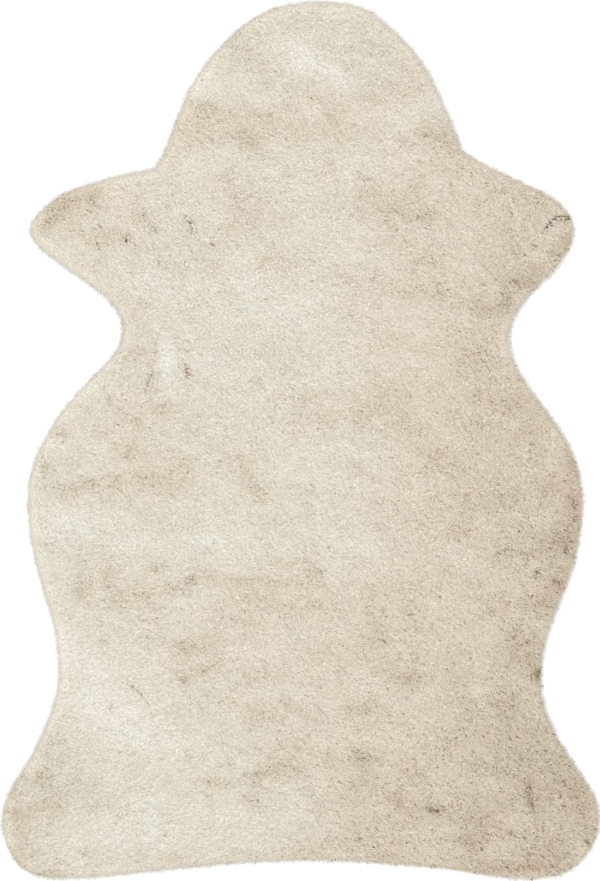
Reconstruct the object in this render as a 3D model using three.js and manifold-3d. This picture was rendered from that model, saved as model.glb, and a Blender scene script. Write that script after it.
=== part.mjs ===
// A small shag rug in the outline of a sheep's fleece: a round head, two short arms,
// a waist, wide hips and two spread feet. It is one piece of long-pile cloth that lies flat.
// Millimetres, +Z up, +Y towards the head. The origin is on the floor under the middle.
import * as THREE from "three";
import { mergeVertices } from "three/addons/utils/BufferGeometryUtils.js";
import Module from "manifold-3d";

// Driving dimensions.
const PILE_TOP = 25; // the highest tips above the floor, backing cloth and pile together
const EDGE_DROP = 13; // how far down from the top the pile starts to round over at the edge
const EDGE_INSET = 10; // how far in from the edge that rounding reaches
const EDGE_STEPS = 3; // faces in the rounding
const CURVE_STEPS = 6; // straight pieces in each stretch of the outline
const GRID = 17; // spacing of the grid that carries the unevenness of the top

// The edge runs counterclockwise seen from above, starting at the crown. Each row is a place
// where the edge turns or changes its bend, with the direction in which the edge passes it,
// in degrees from +X. The two necks are sharp corners, which the edge leaves another way.
const EDGE = [
  { place: "crown", x: 20, y: 454, heading: 180 },
  { place: "left brow", x: -57, y: 431, heading: 218 },
  { place: "left cheek", x: -116, y: 361, heading: 243 },
  { place: "left neck", x: -151, y: 281, heading: 237, leaves: 187 },
  { place: "left arm, upper side", x: -226, y: 263, heading: 197 },
  { place: "left arm, end of the upper side", x: -268, y: 238, heading: 224 },
  { place: "left arm, tip", x: -280, y: 217, heading: 270 },
  { place: "left arm, start of the under side", x: -268, y: 197, heading: 318 },
  { place: "left arm, under side", x: -225, y: 165, heading: 324 },
  { place: "left waist", x: -184, y: 114, heading: 270 },
  { place: "left side", x: -219, y: 62, heading: 226 },
  { place: "left hip", x: -282, y: -61, heading: 270 },
  { place: "left thigh", x: -263, y: -164, heading: 288 },
  { place: "left leg", x: -250, y: -236, heading: 270 },
  { place: "left ankle", x: -281, y: -329, heading: 241 },
  { place: "left foot, outer side", x: -309, y: -391, heading: 270 },
  { place: "left foot, corner", x: -293, y: -436, heading: 308 },
  { place: "left foot, sole", x: -247, y: -453, heading: 0 },
  { place: "left part of the hem", x: -130, y: -443, heading: 6 },
  { place: "middle of the hem", x: 11, y: -434, heading: 0 },
  { place: "right part of the hem", x: 150, y: -442.5, heading: -5 },
  { place: "right foot, sole", x: 230, y: -453, heading: 0 },
  { place: "right foot, corner", x: 289, y: -436, heading: 44 },
  { place: "right foot, outer side", x: 309, y: -388, heading: 90 },
  { place: "right ankle", x: 280, y: -329, heading: 123 },
  { place: "right leg", x: 249, y: -247, heading: 90 },
  { place: "right thigh", x: 270, y: -164, heading: 66 },
  { place: "right hip", x: 292, y: -61, heading: 90 },
  { place: "right side", x: 255, y: 31, heading: 128 },
  { place: "right waist", x: 217, y: 107, heading: 90 },
  { place: "right arm, under side", x: 253, y: 165, heading: 46 },
  { place: "right arm, tip", x: 283, y: 217, heading: 90 },
  { place: "right arm, upper side", x: 238, y: 263, heading: 155 },
  { place: "right neck", x: 168, y: 300, heading: 143, leaves: 112 },
  { place: "right cheek", x: 132, y: 382, heading: 119 },
  { place: "right brow", x: 85, y: 435, heading: 138 },
];

// The pile stands a little higher or lower from place to place, as it was last stroked or
// trodden: each row is a soft mound or hollow, with its reach and its rise.
const LIE = [
  { place: "head", x: 10, y: 380, reach: 110, rise: 1.6 },
  { place: "left arm", x: -225, y: 215, reach: 60, rise: -1.8 },
  { place: "right arm", x: 235, y: 205, reach: 70, rise: -1.2 },
  { place: "crease at the left waist", x: -150, y: 92, reach: 38, rise: -2.6 },
  { place: "chest", x: 20, y: 190, reach: 130, rise: 1.4 },
  { place: "left hip", x: -185, y: -60, reach: 75, rise: -1.5 },
  { place: "right hip", x: 215, y: -95, reach: 85, rise: -1.6 },
  { place: "belly", x: 30, y: -90, reach: 120, rise: 1.2 },
  { place: "crease at the left leg", x: -165, y: -245, reach: 42, rise: -2.4 },
  { place: "seat", x: 60, y: -280, reach: 110, rise: 1.0 },
  { place: "left foot", x: -215, y: -375, reach: 80, rise: 0.8 },
  { place: "right foot", x: 225, y: -370, reach: 80, rise: -1.4 },
];
const TOP_MEAN = PILE_TOP - 2; // the height that the mounds and hollows start from
const RIPPLE = { rise: 0.7, alongX: 83, alongY: 121 }; // a slow wave over the whole rug

const towards = (degrees) =>
  new THREE.Vector2(1, 0).rotateAround(new THREE.Vector2(), THREE.MathUtils.degToRad(degrees));

// One stretch of the edge as a cubic curve. Where the edge turns evenly between its two
// ends, handles of this length make the stretch a true arc of a circle.
function stretch(from, to) {
  const start = new THREE.Vector2(from.x, from.y);
  const end = new THREE.Vector2(to.x, to.y);
  const leaves = towards(from.leaves ?? from.heading);
  const arrives = towards(to.heading);
  const turn = Math.acos(THREE.MathUtils.clamp(leaves.dot(arrives), -1, 1));
  const handle = start.distanceTo(end) / (3 * Math.cos(turn / 4) ** 2);
  return new THREE.CubicBezierCurve(
    start,
    start.clone().addScaledVector(leaves, handle),
    end.clone().addScaledVector(arrives, -handle),
    end,
  );
}

function outline() {
  const shape = new THREE.Shape();
  shape.curves = EDGE.map((place, i) => stretch(place, EDGE[(i + 1) % EDGE.length]));
  return shape;
}

// The height of the pile over a point of the floor.
function pileHeight(x, y) {
  const wave = RIPPLE.rise * Math.sin(x / RIPPLE.alongX) * Math.cos(y / RIPPLE.alongY);
  const mounds = LIE.reduce((sum, m) => {
    const away = Math.hypot(x - m.x, y - m.y) / m.reach;
    return sum + m.rise * Math.exp(-away * away);
  }, 0);
  return Math.min(TOP_MEAN + wave + mounds, PILE_TOP);
}

// The rug's outline as a thick slab whose edges are rounded over above and below.
function roundedSlab() {
  const geometry = new THREE.ExtrudeGeometry(outline(), {
    depth: PILE_TOP,
    curveSegments: CURVE_STEPS,
    bevelEnabled: true,
    bevelThickness: EDGE_DROP,
    bevelSize: EDGE_INSET,
    bevelOffset: -EDGE_INSET,
    bevelSegments: EDGE_STEPS,
  });
  geometry.translate(0, 0, -EDGE_DROP); // the upper rounding ends at the pile's top
  return geometry;
}

// A block larger than the rug from one height to another, with its faces on the grid.
function block(box, bottom, top, cells) {
  const size = box.getSize(new THREE.Vector3());
  const middle = box.getCenter(new THREE.Vector3());
  const geometry = new THREE.BoxGeometry(
    size.x + 2 * GRID, size.y + 2 * GRID, top - bottom, cells.across, cells.along, 1,
  );
  geometry.translate(middle.x, middle.y, (bottom + top) / 2);
  return geometry;
}

// What the pile leaves free: the space above it, whose underside is as uneven as its top.
function spaceAbove(box) {
  const size = box.getSize(new THREE.Vector3());
  const cells = { across: Math.ceil(size.x / GRID) + 2, along: Math.ceil(size.y / GRID) + 2 };
  const space = block(box, PILE_TOP, 2 * PILE_TOP, cells);
  const at = space.attributes.position;
  for (let i = 0; i < at.count; i += 1) {
    if (at.getZ(i) < 1.5 * PILE_TOP) at.setZ(i, pileHeight(at.getX(i), at.getY(i)));
  }
  return space;
}

function solid(wasm, geometry) {
  const bare = geometry.clone();
  bare.deleteAttribute("normal");
  bare.deleteAttribute("uv");
  const closed = mergeVertices(bare, 1e-4);
  return new wasm.Manifold(new wasm.Mesh({
    numProp: 3,
    vertProperties: new Float32Array(closed.attributes.position.array),
    triVerts: new Uint32Array(closed.index.array),
  }));
}

function geometryOf(body) {
  const mesh = body.getMesh();
  const geometry = new THREE.BufferGeometry();
  geometry.setAttribute("position", new THREE.BufferAttribute(mesh.vertProperties, 3));
  geometry.setIndex(new THREE.BufferAttribute(mesh.triVerts, 1));
  geometry.computeVertexNormals();
  return geometry;
}

const wasm = await Module();
wasm.setup();

const slab = roundedSlab();
slab.computeBoundingBox();
const floor = block(slab.boundingBox, -2 * PILE_TOP, 0, { across: 1, along: 1 });
const pile = solid(wasm, slab)
  .subtract(solid(wasm, floor))
  .subtract(solid(wasm, spaceAbove(slab.boundingBox)));

const rug = new THREE.Mesh(
  geometryOf(pile),
  new THREE.MeshStandardMaterial({ color: 0xded2bc, roughness: 0.95, metalness: 0 }),
);
rug.name = "rug";

const part = new THREE.Group();
part.add(rug);

export default part;
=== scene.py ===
import math

import bmesh
import bpy
import numpy as np
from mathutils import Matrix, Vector
from mathutils.bvhtree import BVHTree


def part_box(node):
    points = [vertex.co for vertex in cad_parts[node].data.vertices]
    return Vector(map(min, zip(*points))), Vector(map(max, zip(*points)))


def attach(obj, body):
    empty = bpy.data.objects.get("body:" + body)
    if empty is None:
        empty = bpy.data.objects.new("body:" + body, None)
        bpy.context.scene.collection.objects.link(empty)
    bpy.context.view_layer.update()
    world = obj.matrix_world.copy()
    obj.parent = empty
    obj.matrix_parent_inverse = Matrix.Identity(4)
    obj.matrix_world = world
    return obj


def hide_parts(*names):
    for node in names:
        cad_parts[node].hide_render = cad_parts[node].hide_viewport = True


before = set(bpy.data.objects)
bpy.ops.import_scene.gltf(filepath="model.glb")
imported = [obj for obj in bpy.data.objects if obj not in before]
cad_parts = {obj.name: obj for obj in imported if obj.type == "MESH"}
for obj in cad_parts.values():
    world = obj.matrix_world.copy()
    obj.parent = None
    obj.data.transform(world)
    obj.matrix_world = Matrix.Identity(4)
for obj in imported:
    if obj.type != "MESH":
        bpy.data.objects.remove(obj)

# A shag rug in the outline of a sheep's fleece. The cloth with the dense foot of its pile is
# one sheet, fitted inside the frame's solid, and the strands that show are tufted into it.
# Tables are in millimetres and degrees, with +X to the right and +Y towards the head; the rest
# is in metres and radians.

MM = 0.001
RUG_LOW, RUG_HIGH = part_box("rug")
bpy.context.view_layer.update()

# The cloth.
CLOTH_SHARE = 0.78  # how much of the pile's height is dense enough to be one mass
CLOTH_INSET = 2.3 * MM  # how far the strands at the edge reach past the cloth
EDGE_REACH = 24.0 * MM  # how far in from the edge the cloth is drawn in for that

# The strands on the top, straight and fine, and the curls on the side.
STRAND_SPACING = 1.47 * MM
STRAND_LENGTH = 4.6 * MM
STRAND_GIRTH = 0.34 * MM  # radius at the belly
STRAND_BELLY = 0.5  # where along it a strand is widest
STRAND_ROLL = 0.2  # how far a strand is rolled from lying flat, in radians at most
CURL_GIRTH = 0.50 * MM
CURL_BELLY = 0.5
RIM_WIDTH = 14.0 * MM  # how far in from the edge the strands are the rim's own piece
RIM_BLEND = 4.0 * MM  # how far in the yarn of the edge passes into the yarn of the top
SIDE_ROWS = (1.8 * MM, 3.6 * MM, 5.4 * MM, 7.2 * MM, 9.0 * MM)  # how high the curls stand
STRAND_SINK = 1.2 * MM  # how deep the foot of a strand sits in the cloth
PILE_BANDS = ("head", "chest", "waist", "hips", "feet")
LOWEST_TIP = 0.6 * MM  # above the floor

# How unevenly they grow. Spreads and leans are in radians, the rest are shares.
HEADING_SPREAD = 0.55
LEAN = math.radians(44)
LEAN_SPREAD = 0.20
LEAN_LIMITS = (0.05, 1.35)
LENGTHS = (0.80, 1.12)
GIRTHS = (0.75, 1.15)
EDGE_FALL = 16 * MM  # how far in from the edge the strands start to lean outwards
EDGE_SHORTER = 0.35
EDGE_SPLAY = 0.65
PARTING_SPLAY = 0.6  # how far the strands beside a parting lean away from it
PARTING_LIFT = 0.4 * MM
TUFT_LIFT = 0.35 * MM
CURL_REACH = (1.2 * MM, 4.8 * MM)  # the shortest curl, and how much longer the longest is
CURL_STRAY = 1.6  # above 1, most of the curls are short
CURL_DROOP = (-1.20, 0.30)  # from hanging down to standing up, against 1 outwards
CURL_LIGHT_AND_TONE = (0.07, 0.13)  # how much paler the curls are, painted light that lifts their shade, and how much they differ
LOCK_SIZE = 5 * MM  # the curls make locks
LOCK_LENGTH = 0.35
LOCK_TONE = 0.10

# Tufts: neighbouring strands lean together.
TUFT_SPACING = 6.5 * MM
TUFT_GATHER = 0.08
TUFT_TONE = 0.014
CONTRAST_GAIN = 9.0  # how much the contrast of strands and gaps grows as the pile gets darker

# Tones.
MARK_STRENGTH = 0.47  # how strong the marks of the tables below are

# Pits: painted shade in small gaps between tufts, where the shade at the foot of the pile shows.
PIT_SPACING = 6.0 * MM
PIT_REACH = (2.6 * MM, 0.5 * MM)  # along the lie and across it
PIT_SHADE = 0.60
ROOT_SHADE = 0.10  # painted shade: how much darker a strand is at its foot than at its tip
SHOWING = 0.7  # how far up a strand the middle of what shows of it is
STRAND_TONE = 0.029  # how much the strands differ from each other
FLECK_SHARE = 0.040  # a few strands are painted darker, painted shade for the thin dark lines between strands, and show whole because they stand proud
FLECK_SHADE = (0.20, 0.62)
FLECK_LIFT = 0.6 * MM
FLECK_LENGTH = 1.3
FLECK_LEAN = math.radians(54)
FLECK_GIRTH = 0.75
FLECK_GROUPS = 0.9  # how much the flecks keep together, from 0 for not at all
MASS_SHADE = 0.155  # painted shade: how much darker the dense foot of the pile is than the strands
MASS_GAP_SHADE = 0.46  # painted shade: how much darker again it is in its own small gaps
MASS_FIBRES = 0.38  # how much the fine fibres of the mass differ from each other
ROSE_WITH_TONE = 3.0  # a paler strand or fibre is rosier too, so that the grain keeps one hue
ROSE_WITH_FLECK = 0.8  # and a dark fleck, painted shade, is greener
MASS_SWAY = 12 * MM  # how far those gaps, which are drawn out along the lie, sway from it
RIM_PAINTED_LIGHT = 0.05  # painted light: how much paler the strands are at the very edge, lifting the shade there
RIM_PAINTED_LIGHT_AT = (2.0 * MM, 3.0 * MM)  # how far in from the edge that is, and how far it spreads
RIM_PAINTED_SHADE = 0.04  # painted shade: how much darker they are further in, where the edge's slope catches more light
RIM_PAINTED_SHADE_AT = (11 * MM, 5 * MM)

# The light and the floor.
CAMERA_HEIGHT = 4.0
STUDIO_LIGHT = 0.68
KEY_LIGHT = 2.6
KEY_ANGLE = math.radians(60)
KEY_FROM = (-0.08, 0.03, 1.0)
FLOOR_PAINT = 0.86
FLOOR_SIZE = 12.0
FLOOR_GAP = 0.1 * MM


# ---------------------------------------------------------------- places and noise

def smooth_step(share):
    share = np.clip(share, 0.0, 1.0)
    return share * share * (3.0 - 2.0 * share)


def soft_noise(x, y, size, seed, wide=1.0):
    """Smooth noise from -1 to 1 whose lumps are about size high and wide times as broad."""
    cells = 512
    lattice = np.random.default_rng(seed).uniform(-1.0, 1.0, (cells, cells))
    u, v = x / (size * wide) + cells / 2, y / size + cells / 2
    column, row = np.floor(u).astype(int), np.floor(v).astype(int)
    s, t = smooth_step(u - column), smooth_step(v - row)
    left, right = column % cells, (column + 1) % cells
    below, above = row % cells, (row + 1) % cells
    low = lattice[left, below] * (1 - s) + lattice[right, below] * s
    high = lattice[left, above] * (1 - s) + lattice[right, above] * s
    return low * (1 - t) + high * t


def nearest_middle(points, spacing, seed):
    """The middle of the loose cell that each point falls in, and that cell's number."""
    cells = 512
    shift = np.random.default_rng(seed).uniform(-0.42, 0.42, (cells, cells, 2))
    column = np.floor(points[:, 0] / spacing).astype(int)
    row = np.floor(points[:, 1] / spacing).astype(int)
    best = np.full(len(points), np.inf)
    middle = np.zeros_like(points)
    number = np.zeros(len(points), int)
    for i in (-1, 0, 1):
        for j in (-1, 0, 1):
            c, r = column + i, row + j
            at = (np.stack([c, r], 1) + 0.5 + shift[c % cells, r % cells]) * spacing
            away = np.sum((points - at) ** 2, 1)
            closer = away < best
            best[closer] = away[closer]
            middle[closer] = at[closer]
            number[closer] = ((c % cells) * cells + r % cells)[closer]
    return middle, number


def outline_of(cloth):
    """The edge of the cloth's flat underside, as points in order, counterclockwise."""
    work = bmesh.new()
    work.from_mesh(cloth.data)
    under = [f for f in work.faces if f.normal.z < -0.99 and f.calc_center_median().z < 0.1 * MM]
    flat = set(under)
    rim = [e for f in under for e in f.edges if sum(g in flat for g in e.link_faces) == 1]
    nexts = {}
    for edge in rim:
        a, b = edge.verts
        nexts.setdefault(a, []).append(b)
        nexts.setdefault(b, []).append(a)
    start = rim[0].verts[0]
    loop, before, here = [start], None, start
    while True:
        ahead = [v for v in nexts[here] if v is not before][0]
        if ahead is start:
            break
        loop.append(ahead)
        before, here = here, ahead
    points = np.array([(v.co.x, v.co.y) for v in loop])
    work.free()
    after = np.roll(points, -1, 0)
    turning = np.sum(points[:, 0] * after[:, 1] - after[:, 0] * points[:, 1])
    return points if turning > 0 else points[::-1]


def unit(v):
    return v / np.maximum(np.linalg.norm(v, axis=1), 1e-12)[:, None]


def from_line(points, a, b):
    """The nearest place to each point on the straight line from a to b."""
    edge = b - a
    share = np.clip(((points - a) @ edge) / max(edge @ edge, 1e-12), 0.0, 1.0)
    return a + share[:, None] * edge


def from_edge(points, outline):
    """How far each point lies inside the outline (less than 0 outside), and the way outwards."""
    best = np.full(len(points), np.inf)
    foot = np.zeros((len(points), 2))
    inside = np.zeros(len(points), bool)
    leaving = np.zeros((len(points), 2))
    touch = (0.05 * MM) ** 2
    y = points[:, 1]
    for a, b in zip(outline, np.roll(outline, -1, 0)):
        near = from_line(points, a, b)
        away = np.sum((points - near) ** 2, 1)
        closer = away < best
        best[closer] = away[closer]
        foot[closer] = near[closer]
        leaving[away < touch] += np.array([b[1] - a[1], a[0] - b[0]]) / np.linalg.norm(b - a)
        crosses = (a[1] > y) != (b[1] > y)
        at = a[0] + (y - a[1]) * (b[0] - a[0]) / np.where(crosses, b[1] - a[1], 1.0)
        inside ^= crosses & (points[:, 0] < at)
    depth = np.sqrt(best)
    outwards = (foot - points) / np.maximum(depth, 1e-9)[:, None]
    outwards[~inside] *= -1
    outwards[best < touch] = unit(leaving[best < touch])
    return np.where(inside, depth, -depth), outwards


# ---------------------------------------------------------------- tone of the pile

# The tone runs from 0, a dark tan, to 1, ivory. The field is paler on the left and more tan on the
# right: partly the pile's own tan, and partly painted light and shade, paler where the pile lies
# towards the light.
FIELD_TONE = 0.76
FIELD_FALLS_AND_SHADE = [  # from x, to x, change of tone
    (10, 130, -0.10),
    (120, 250, -0.10),
]
FIELD_ROSE = 0.55
RIGHT_ROSE = 0.20  # how much rosier the field is on the right
TONE_NOISE = [(0.020, 24, 11, 2.2), (0.024, 9, 12, 1.7), (0.012, 4.5, 13, 1.3)]
ROSE_NOISE = [(0.12, 22, 21), (0.08, 8, 22)]  # amount, size, seed
LIE_NOISE = [(0.3, 45, 31), (0.4, 15, 32), (0.3, 6, 34)]
LEAN_NOISE = (0.2, 22, 33)

# Patches that are paler (tone above 0) or more tan (below 0) than the field, and rosier (rosy
# above 0) or greener (below 0).
PATCHES = [
    # place, x, y, reach across, reach along, turn, tone, rosy
    # broad fields
    ("lower middle", 60, -205, 100, 75, 0, -0.10, 0.3),
    ("sole", 80, -375, 85, 75, 0, -0.18, 0.3),
    ("sole's edge", 95, -458, 110, 24, 0, -0.36, 0.1),
    ("thigh band", -40, -168, 80, 36, 0, -0.07, 0.3),
    ("left shin", -280, -345, 42, 80, 0, -0.10, -0.1),
    ("left sole", -290, -450, 70, 26, 0, -0.12, -0.3),
    ("right flank", 165, -25, 90, 30, 0, -0.07, 0.2),
    ("left cheek's edge", -128, 330, 24, 45, 0, -0.11, 0.2),
    ("crown's left", -62, 450, 36, 20, 20, -0.36, 0.0),
    ("left band's blush", -50, 325, 75, 28, 0, -0.02, 0.4),
    ("left shoulder", -215, 262, 52, 24, 10, -0.05, 0.3),
    ("left arm's blush", -215, 212, 50, 26, 0, -0.03, 0.3),
    ("right tip's edge", 292, 212, 14, 22, 0, -0.16, 0.0),
    ("left armpit glow", -122, 150, 34, 20, 0, 0.10, 0.0),
    ("foot's edge", -90, -452, 62, 16, 0, -0.34, 0.0),
    ("thigh's blush", -95, -225, 60, 45, 0, 0.0, 0.3),
    ("middle chest glow", 2, 215, 32, 20, 0, 0.07, 0.0),
    ("hip column's blush", -175, 0, 30, 55, 0, -0.03, 0.4),
    ("belly's low glow", -70, -98, 44, 14, 0, 0.09, -0.1),
    ("right head and shoulder", 180, 290, 60, 50, 0, 0.0, -0.3),
    ("middle thigh's field", -60, -272, 32, 22, 0, -0.07, 0.2),
    ("face", 0, 328, 28, 20, 0, -0.08, 0.0),
    ("left temple's edge", -105, 392, 20, 26, 45, -0.10, 0.0),
    ("left rib", -120, 208, 26, 20, 0, -0.06, 0.0),
    ("middle sole", 5, -325, 34, 22, 0, -0.08, 0.2),
    ("right foot's side", 300, -392, 16, 26, 0, -0.10, 0.1),
    ("right waist's glow", 222, 88, 14, 18, 0, 0.12, -0.2),
    # head
    ("bright streak", 0, 397, 40, 14, -32, 0.21, 0.2),
    ("streak's lower end", 42, 372, 24, 10, -38, 0.14, 0.0),
    ("left cheek", -97, 372, 24, 13, 50, 0.16, 0.0),
    ("left temple", -115, 286, 14, 10, -20, 0.20, 0.1),
    ("right cheek", 112, 334, 40, 12, 36, 0.14, -0.1),
    ("right brow", 80, 405, 45, 36, 0, 0.02, -0.4),
    ("crown", 30, 446, 22, 8, -8, 0.05, 0.3),
    ("left brow", -66, 414, 11, 6, 35, -0.28, -0.4),
    ("under the left brow", -62, 398, 22, 10, 20, -0.12, -0.1),
    ("beside the streak", -36, 376, 6, 13, 20, -0.18, 0.0),
    ("left band", -72, 326, 50, 20, -4, -0.13, 0.1),
    ("left band, top left", -92, 341, 16, 6, -5, -0.24, -0.1),
    ("left band, top right", -36, 334, 17, 6, -12, -0.18, 0.1),
    ("left band, left foot", -100, 308, 13, 4, 10, -0.22, 0.0),
    ("left band, right foot", -52, 307, 15, 9, -30, -0.32, 0.0),
    ("brow line", 16, 352, 9, 3, -5, -0.20, -0.2),
    ("middle of the brow", 72, 353, 16, 5, 0, -0.18, 0.1),
    ("middle of the face", 36, 332, 12, 16, 0, -0.17, 0.2),
    ("below the face", 30, 281, 7, 14, 10, -0.18, 0.2),
    ("right temple", 147, 312, 25, 12, -38, -0.15, -0.2),
    ("right temple's front", 128, 313, 10, 7, 0, -0.08, 0.1),
    # left arm
    ("left tip", -259, 224, 15, 8, 68, -0.36, -0.2),
    ("left arm's top edge", -239, 247, 18, 7, 24, -0.42, 0.1),
    ("left arm's shoulder", -212, 251, 9, 12, 0, -0.30, -0.2),
    ("left arm, inside", -239, 230, 13, 12, 0, -0.20, 0.4),
    ("left palm", -204, 207, 24, 8, 6, -0.24, 0.2),
    ("left elbow", -163, 228, 11, 6, 20, -0.20, 0.0),
    ("left elbow's dot", -150, 217, 5, 5, 0, -0.26, -0.2),
    ("left arm's lower side", -165, 160, 22, 13, 0, 0.08, 0.0),
    ("left armpit", -166, 138, 12, 5, 10, -0.12, 0.2),
    # chest
    ("left chest column", -62, 240, 9, 22, 8, -0.18, 0.2),
    ("left chest, right side", -42, 236, 8, 15, 0, -0.18, 0.3),
    ("left chest's foot", -71, 217, 9, 8, 30, -0.18, 0.3),
    ("upper left chest", -75, 270, 12, 5, 15, -0.16, 0.2),
    ("neck line", -18, 228, 11, 4, 32, -0.24, 0.2),
    ("heart", -36, 182, 13, 6, 15, -0.18, 0.4),
    ("left breast", -108, 145, 8, 6, 0, -0.14, -0.3),
    ("chest glow", -20, 135, 42, 24, 10, 0.07, -0.1),
    ("left chest glow", -60, 172, 14, 18, 0, 0.08, 0.0),
    ("right chest bar", 92, 237, 16, 6, 10, -0.18, 0.2),
    ("above the bar", 74, 252, 20, 11, -10, -0.12, 0.3),
    ("right chest knot", 131, 231, 13, 8, 0, -0.30, -0.2),
    ("breast bone", 126, 187, 14, 5, 0, -0.22, 0.0),
    ("right breast glow", 68, 214, 18, 8, 0, 0.08, 0.0),
    ("right rib glow", 150, 208, 14, 9, 0, 0.07, -0.1),
    ("collar glow", 84, 275, 26, 9, -10, 0.06, -0.1),
    ("right rib line", 122, 152, 34, 6, -5, -0.13, 0.1),
    ("right rib dot", 139, 148, 7, 4, 0, -0.16, 0.2),
    ("right waist dot", 160, 138, 5, 4, 0, -0.20, -0.2),
    # right arm
    ("right shoulder blush", 185, 238, 44, 24, -20, 0.02, 0.1),
    ("right shoulder's edge", 232, 254, 22, 7, -26, -0.08, 0.1),
    ("right shoulder's point", 249, 246, 8, 8, 0, -0.10, 0.0),
    ("right tip", 273, 203, 6, 9, 0, -0.42, 0.1),
    ("right wrist", 262, 192, 9, 8, 40, -0.34, 0.0),
    ("right elbow", 230, 162, 17, 6, -14, -0.40, 0.1),
    ("right elbow's top", 241, 176, 11, 8, 20, -0.26, 0.0),
    ("right armpit", 213, 146, 6, 10, 0, -0.46, 0.0),
    ("below the right armpit", 191, 135, 24, 8, -6, -0.26, 0.2),
    ("right palm glow", 240, 190, 8, 8, 0, 0.12, 0.2),
    # left waist and hip
    ("waist streak", -138, 86, 8, 29, 6, 0.28, 0.0),
    ("left waist shade", -168, 88, 18, 16, 0, -0.10, 0.1),
    ("beside the waist streak", -155, 64, 4, 14, -14, -0.26, -0.1),
    ("waist comma", -117, 72, 5, 8, 15, -0.34, 0.2),
    ("hip column, top", -172, 26, 13, 16, 10, -0.04, 0.0),
    ("hip column, branch", -140, 33, 14, 6, 14, -0.14, 0.3),
    ("hip column, right knot", -152, 0, 6, 6, 0, -0.14, -0.2),
    ("hip column, rust", -175, -9, 14, 8, 25, -0.28, 0.4),
    ("hip column, foot", -188, -46, 7, 7, 0, -0.12, 0.1),
    ("hip column, right foot", -158, -40, 22, 11, -20, -0.18, 0.5),
    ("hip blush", -130, -34, 26, 17, 0, -0.12, 0.4),
    ("hip line", -190, -47, 56, 6, 0, -0.04, 0.1),
    ("outer hip knot", -216, -43, 12, 6, 20, -0.22, -0.1),
    ("outer hip line", -240, -52, 16, 7, 15, -0.20, 0.0),
    ("outer hip", -236, -22, 14, 8, 20, -0.16, 0.1),
    ("outer hip dot", -225, -10, 6, 6, 0, -0.18, 0.0),
    ("outer hip edge", -262, -28, 8, 12, 0, -0.18, 0.0),
    ("outer waist edge", -246, 10, 9, 6, 0, -0.22, 0.2),
    ("hip glow", -236, -86, 42, 22, 0, 0.16, 0.0),
    ("hip glow, right end", -175, -104, 30, 12, 0, 0.15, -0.1),
    ("waist glow", -98, 80, 30, 12, 0, 0.05, -0.2),
    # belly
    ("belly, upper left", -60, 53, 15, 6, 0, -0.18, 0.3),
    ("belly, upper dot", -43, 58, 6, 7, 30, -0.20, -0.1),
    ("navel dot", -13, 72, 6, 5, 0, -0.22, 0.1),
    ("belly line", 8, 45, 25, 7, 0, -0.20, 0.1),
    ("belly blush", 2, 22, 28, 20, 0, -0.12, 0.4),
    ("belly, left blush", -62, -20, 26, 9, 0, -0.08, 0.5),
    ("belly, left knot", -56, -31, 5, 6, 0, -0.28, 0.1),
    ("belly, slanting", -46, -49, 14, 8, -50, -0.22, 0.2),
    ("belly, slanting foot", -38, -59, 6, 4, 0, -0.20, -0.1),
    ("belly, left dot", -113, -31, 6, 9, 0, -0.18, 0.1),
    ("belly, grey column", -108, -78, 6, 16, 0, -0.10, 0.0),
    ("belly, thin line", -28, -81, 24, 3, 0, -0.12, 0.1),
    ("belly, low dot", 8, -78, 8, 5, 0, -0.18, 0.2),
    ("belly, lower glow", 58, -118, 38, 30, 0, 0.06, -0.2),
    ("belly, greenish glow", 60, -15, 40, 26, 0, 0.05, -0.2),
    ("flank, left cloud", 78, 42, 26, 22, 0, -0.07, 0.5),
    ("flank, left knot", 66, 24, 11, 11, 40, -0.12, 0.0),
    ("flank, middle", 106, 28, 12, 14, -30, -0.12, 0.2),
    ("flank, middle's foot", 121, 12, 9, 6, 0, -0.18, 0.0),
    ("flank ring", 137, -17, 11, 9, 0, -0.20, 0.0),
    ("flank, grey field", 150, 20, 50, 50, 0, -0.03, 0.2),
    ("spot of the belly", 60, -28, 6, 5, 0, -0.26, 0.0),
    # right waist and hip
    ("right waist tan", 178, 84, 22, 20, -20, -0.12, 0.1),
    ("right waist's right", 197, 76, 9, 9, 0, -0.04, 0.0),
    ("right waist's left", 160, 69, 10, 7, 0, -0.18, -0.1),
    ("right flank's top", 190, 42, 11, 6, -20, -0.18, 0.1),
    ("right flank brown", 228, 40, 24, 13, -24, -0.18, 0.2),
    ("right flank knot", 215, 30, 10, 5, 0, -0.20, 0.1),
    ("right flank's foot", 236, 12, 13, 13, 0, -0.20, 0.0),
    ("right flank's edge", 252, 28, 8, 20, 30, -0.04, 0.2),
    ("olive knot", 185, 13, 13, 6, 0, -0.08, -0.3),
    ("flank glow", 214, -22, 12, 12, 0, 0.08, -0.1),
    ("hip, left tan", 172, -65, 23, 14, 0, -0.18, 0.1),
    ("hip, middle tan", 210, -60, 20, 11, 0, -0.18, -0.1),
    ("hip, small line", 145, -53, 10, 4, 0, -0.15, 0.0),
    ("hip, lower tan", 158, -96, 16, 8, 0, -0.16, 0.1),
    ("hip, lower dot", 175, -95, 6, 5, 0, -0.22, 0.0),
    ("hip edge, top", 279, -20, 9, 20, 12, -0.38, 0.2),
    ("hip edge, inner", 256, -44, 12, 14, 0, -0.22, 0.1),
    ("hip edge, middle", 284, -66, 12, 20, 0, -0.26, 0.0),
    ("hip edge, low", 276, -105, 15, 24, -8, -0.34, 0.0),
    ("hip edge, low inside", 252, -104, 18, 12, 0, -0.16, 0.0),
    ("hip edge, below", 266, -148, 12, 16, -20, -0.34, 0.0),
    ("thigh edge", 252, -170, 15, 12, -30, -0.32, 0.0),
    ("thigh, tan", 215, -115, 24, 10, 0, -0.20, -0.1),
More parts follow.
